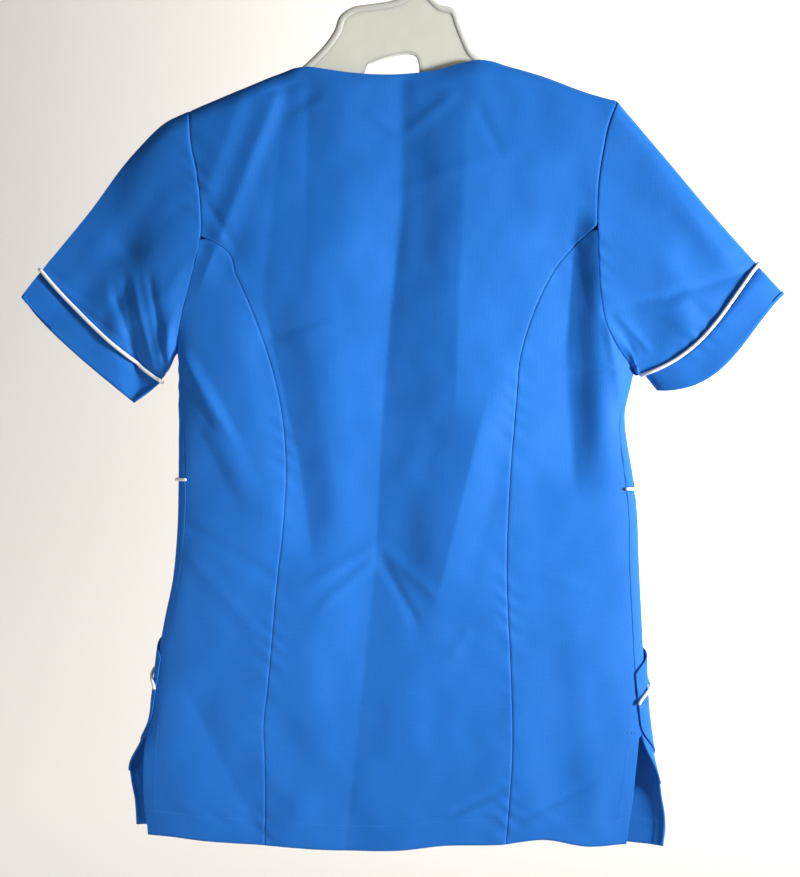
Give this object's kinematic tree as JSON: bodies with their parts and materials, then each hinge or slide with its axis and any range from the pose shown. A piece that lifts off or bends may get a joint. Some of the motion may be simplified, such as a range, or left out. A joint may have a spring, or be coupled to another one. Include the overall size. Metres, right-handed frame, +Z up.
{
  "type": "nurse uniform tunic on a plastic hanger",
  "caption": "Hip-length short-sleeved uniform tunic with a vee neck, white piping, patch pockets and side vents, on a moulded hanger.",
  "frame": {"origin": "inside top of the hanger's hook, where a rail or a hook holds it", "axes": "+Z up, the tunic's back faces -Y, +X towards the wearer's right; the view of the picture looks along +Y"},
  "size_m": [0.7017, 0.0612, 0.8502],
  "materials": {
    "cloth_blue": "smooth plain-woven poly-cotton, matt with a slight sheen",
    "piping_white": "matt woven piping",
    "hanger_plastic": "milky, slightly translucent, satin"
  },
  "bodies": {
    "root": {"back_centre": "cloth_blue", "back_side_left": "cloth_blue", "back_side_right": "cloth_blue", "front_upper_left": "cloth_blue", "front_upper_right": "cloth_blue", "front_lower_left": "cloth_blue", "front_lower_right": "cloth_blue", "sleeve_left": "cloth_blue", "sleeve_right": "cloth_blue", "cuff_left": "cloth_blue", "cuff_right": "cloth_blue", "pocket_left": "cloth_blue", "pocket_right": "cloth_blue", "pocket_band_left": "cloth_blue", "pocket_band_right": "cloth_blue", "cuff_piping_left": "piping_white", "cuff_piping_right": "piping_white", "waist_piping_left": "piping_white", "waist_piping_right": "piping_white", "pocket_piping_left": "piping_white", "pocket_piping_right": "piping_white", "hanger_body": "hanger_plastic", "hanger_hook": "hanger_plastic"}
  },
  "joints": []
}
